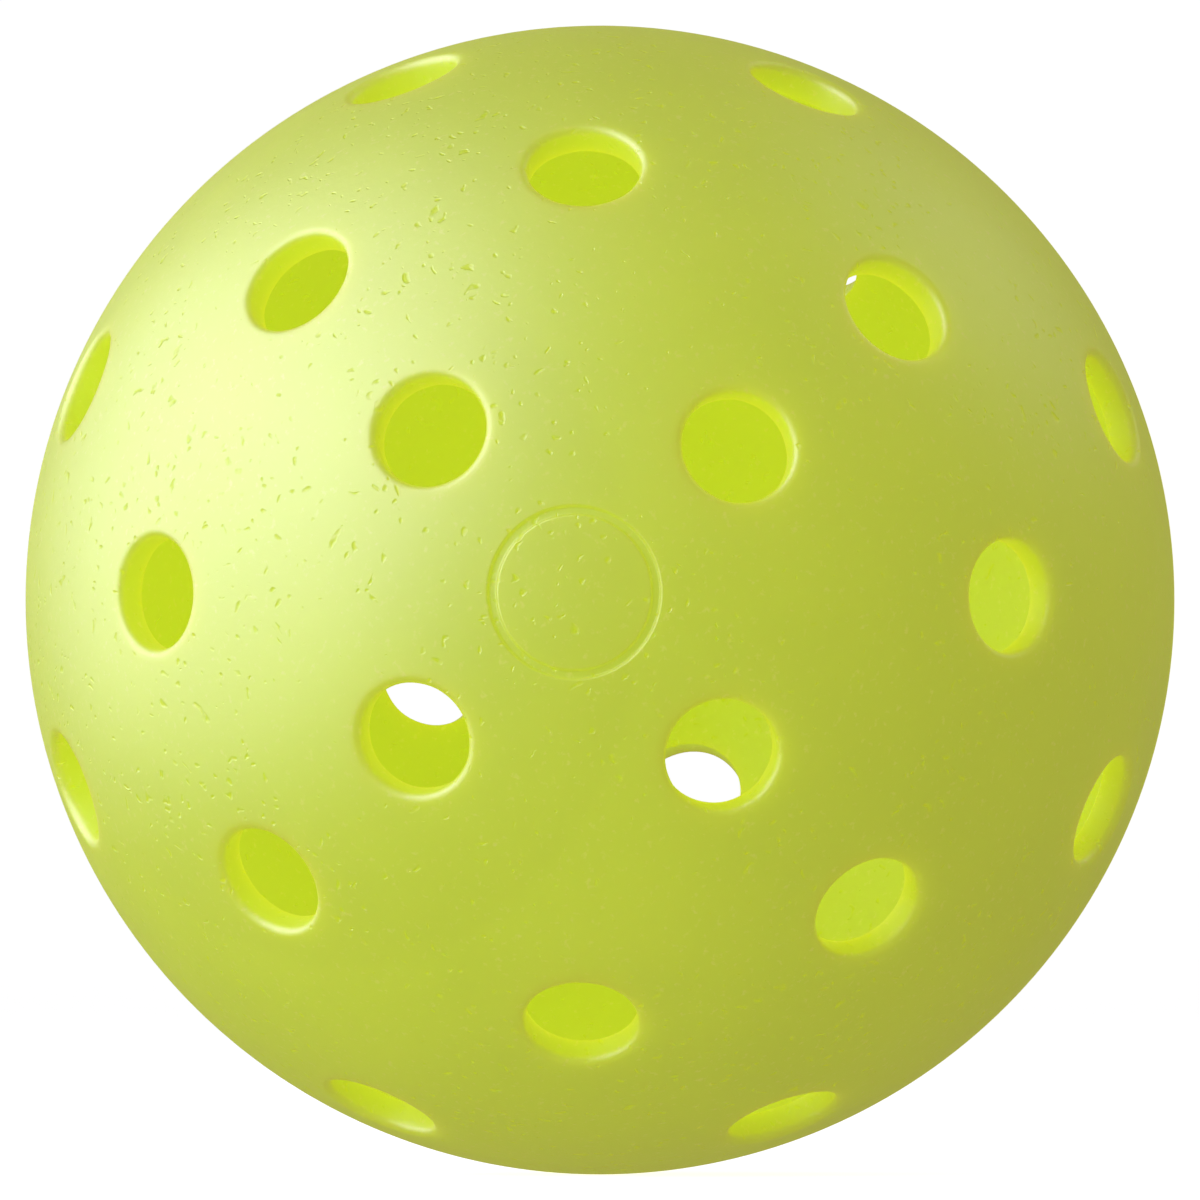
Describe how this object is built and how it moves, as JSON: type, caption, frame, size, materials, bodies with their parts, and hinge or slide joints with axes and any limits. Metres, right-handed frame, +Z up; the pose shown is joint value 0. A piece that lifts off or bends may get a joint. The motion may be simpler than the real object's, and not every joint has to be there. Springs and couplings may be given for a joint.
{
  "type": "pickleball ball",
  "caption": "Hollow lime polyethylene court ball of two half shells lapped at the equator, drilled all over with round holes in rings about each pole.",
  "frame": {"origin": "centre of the ball", "axes": "+Z up, away from the surface the ball rests on; +Y along the polar axis of the hole pattern, from the marked pole towards the plain one; +X completes a right-handed set"},
  "size_m": [0.074, 0.074, 0.074],
  "materials": {
    "lime_polyethylene": "translucent, waxy, lightly pitted"
  },
  "bodies": {
    "root": {"front_half_shell": "lime_polyethylene", "rear_half_shell": "lime_polyethylene"}
  },
  "joints": []
}
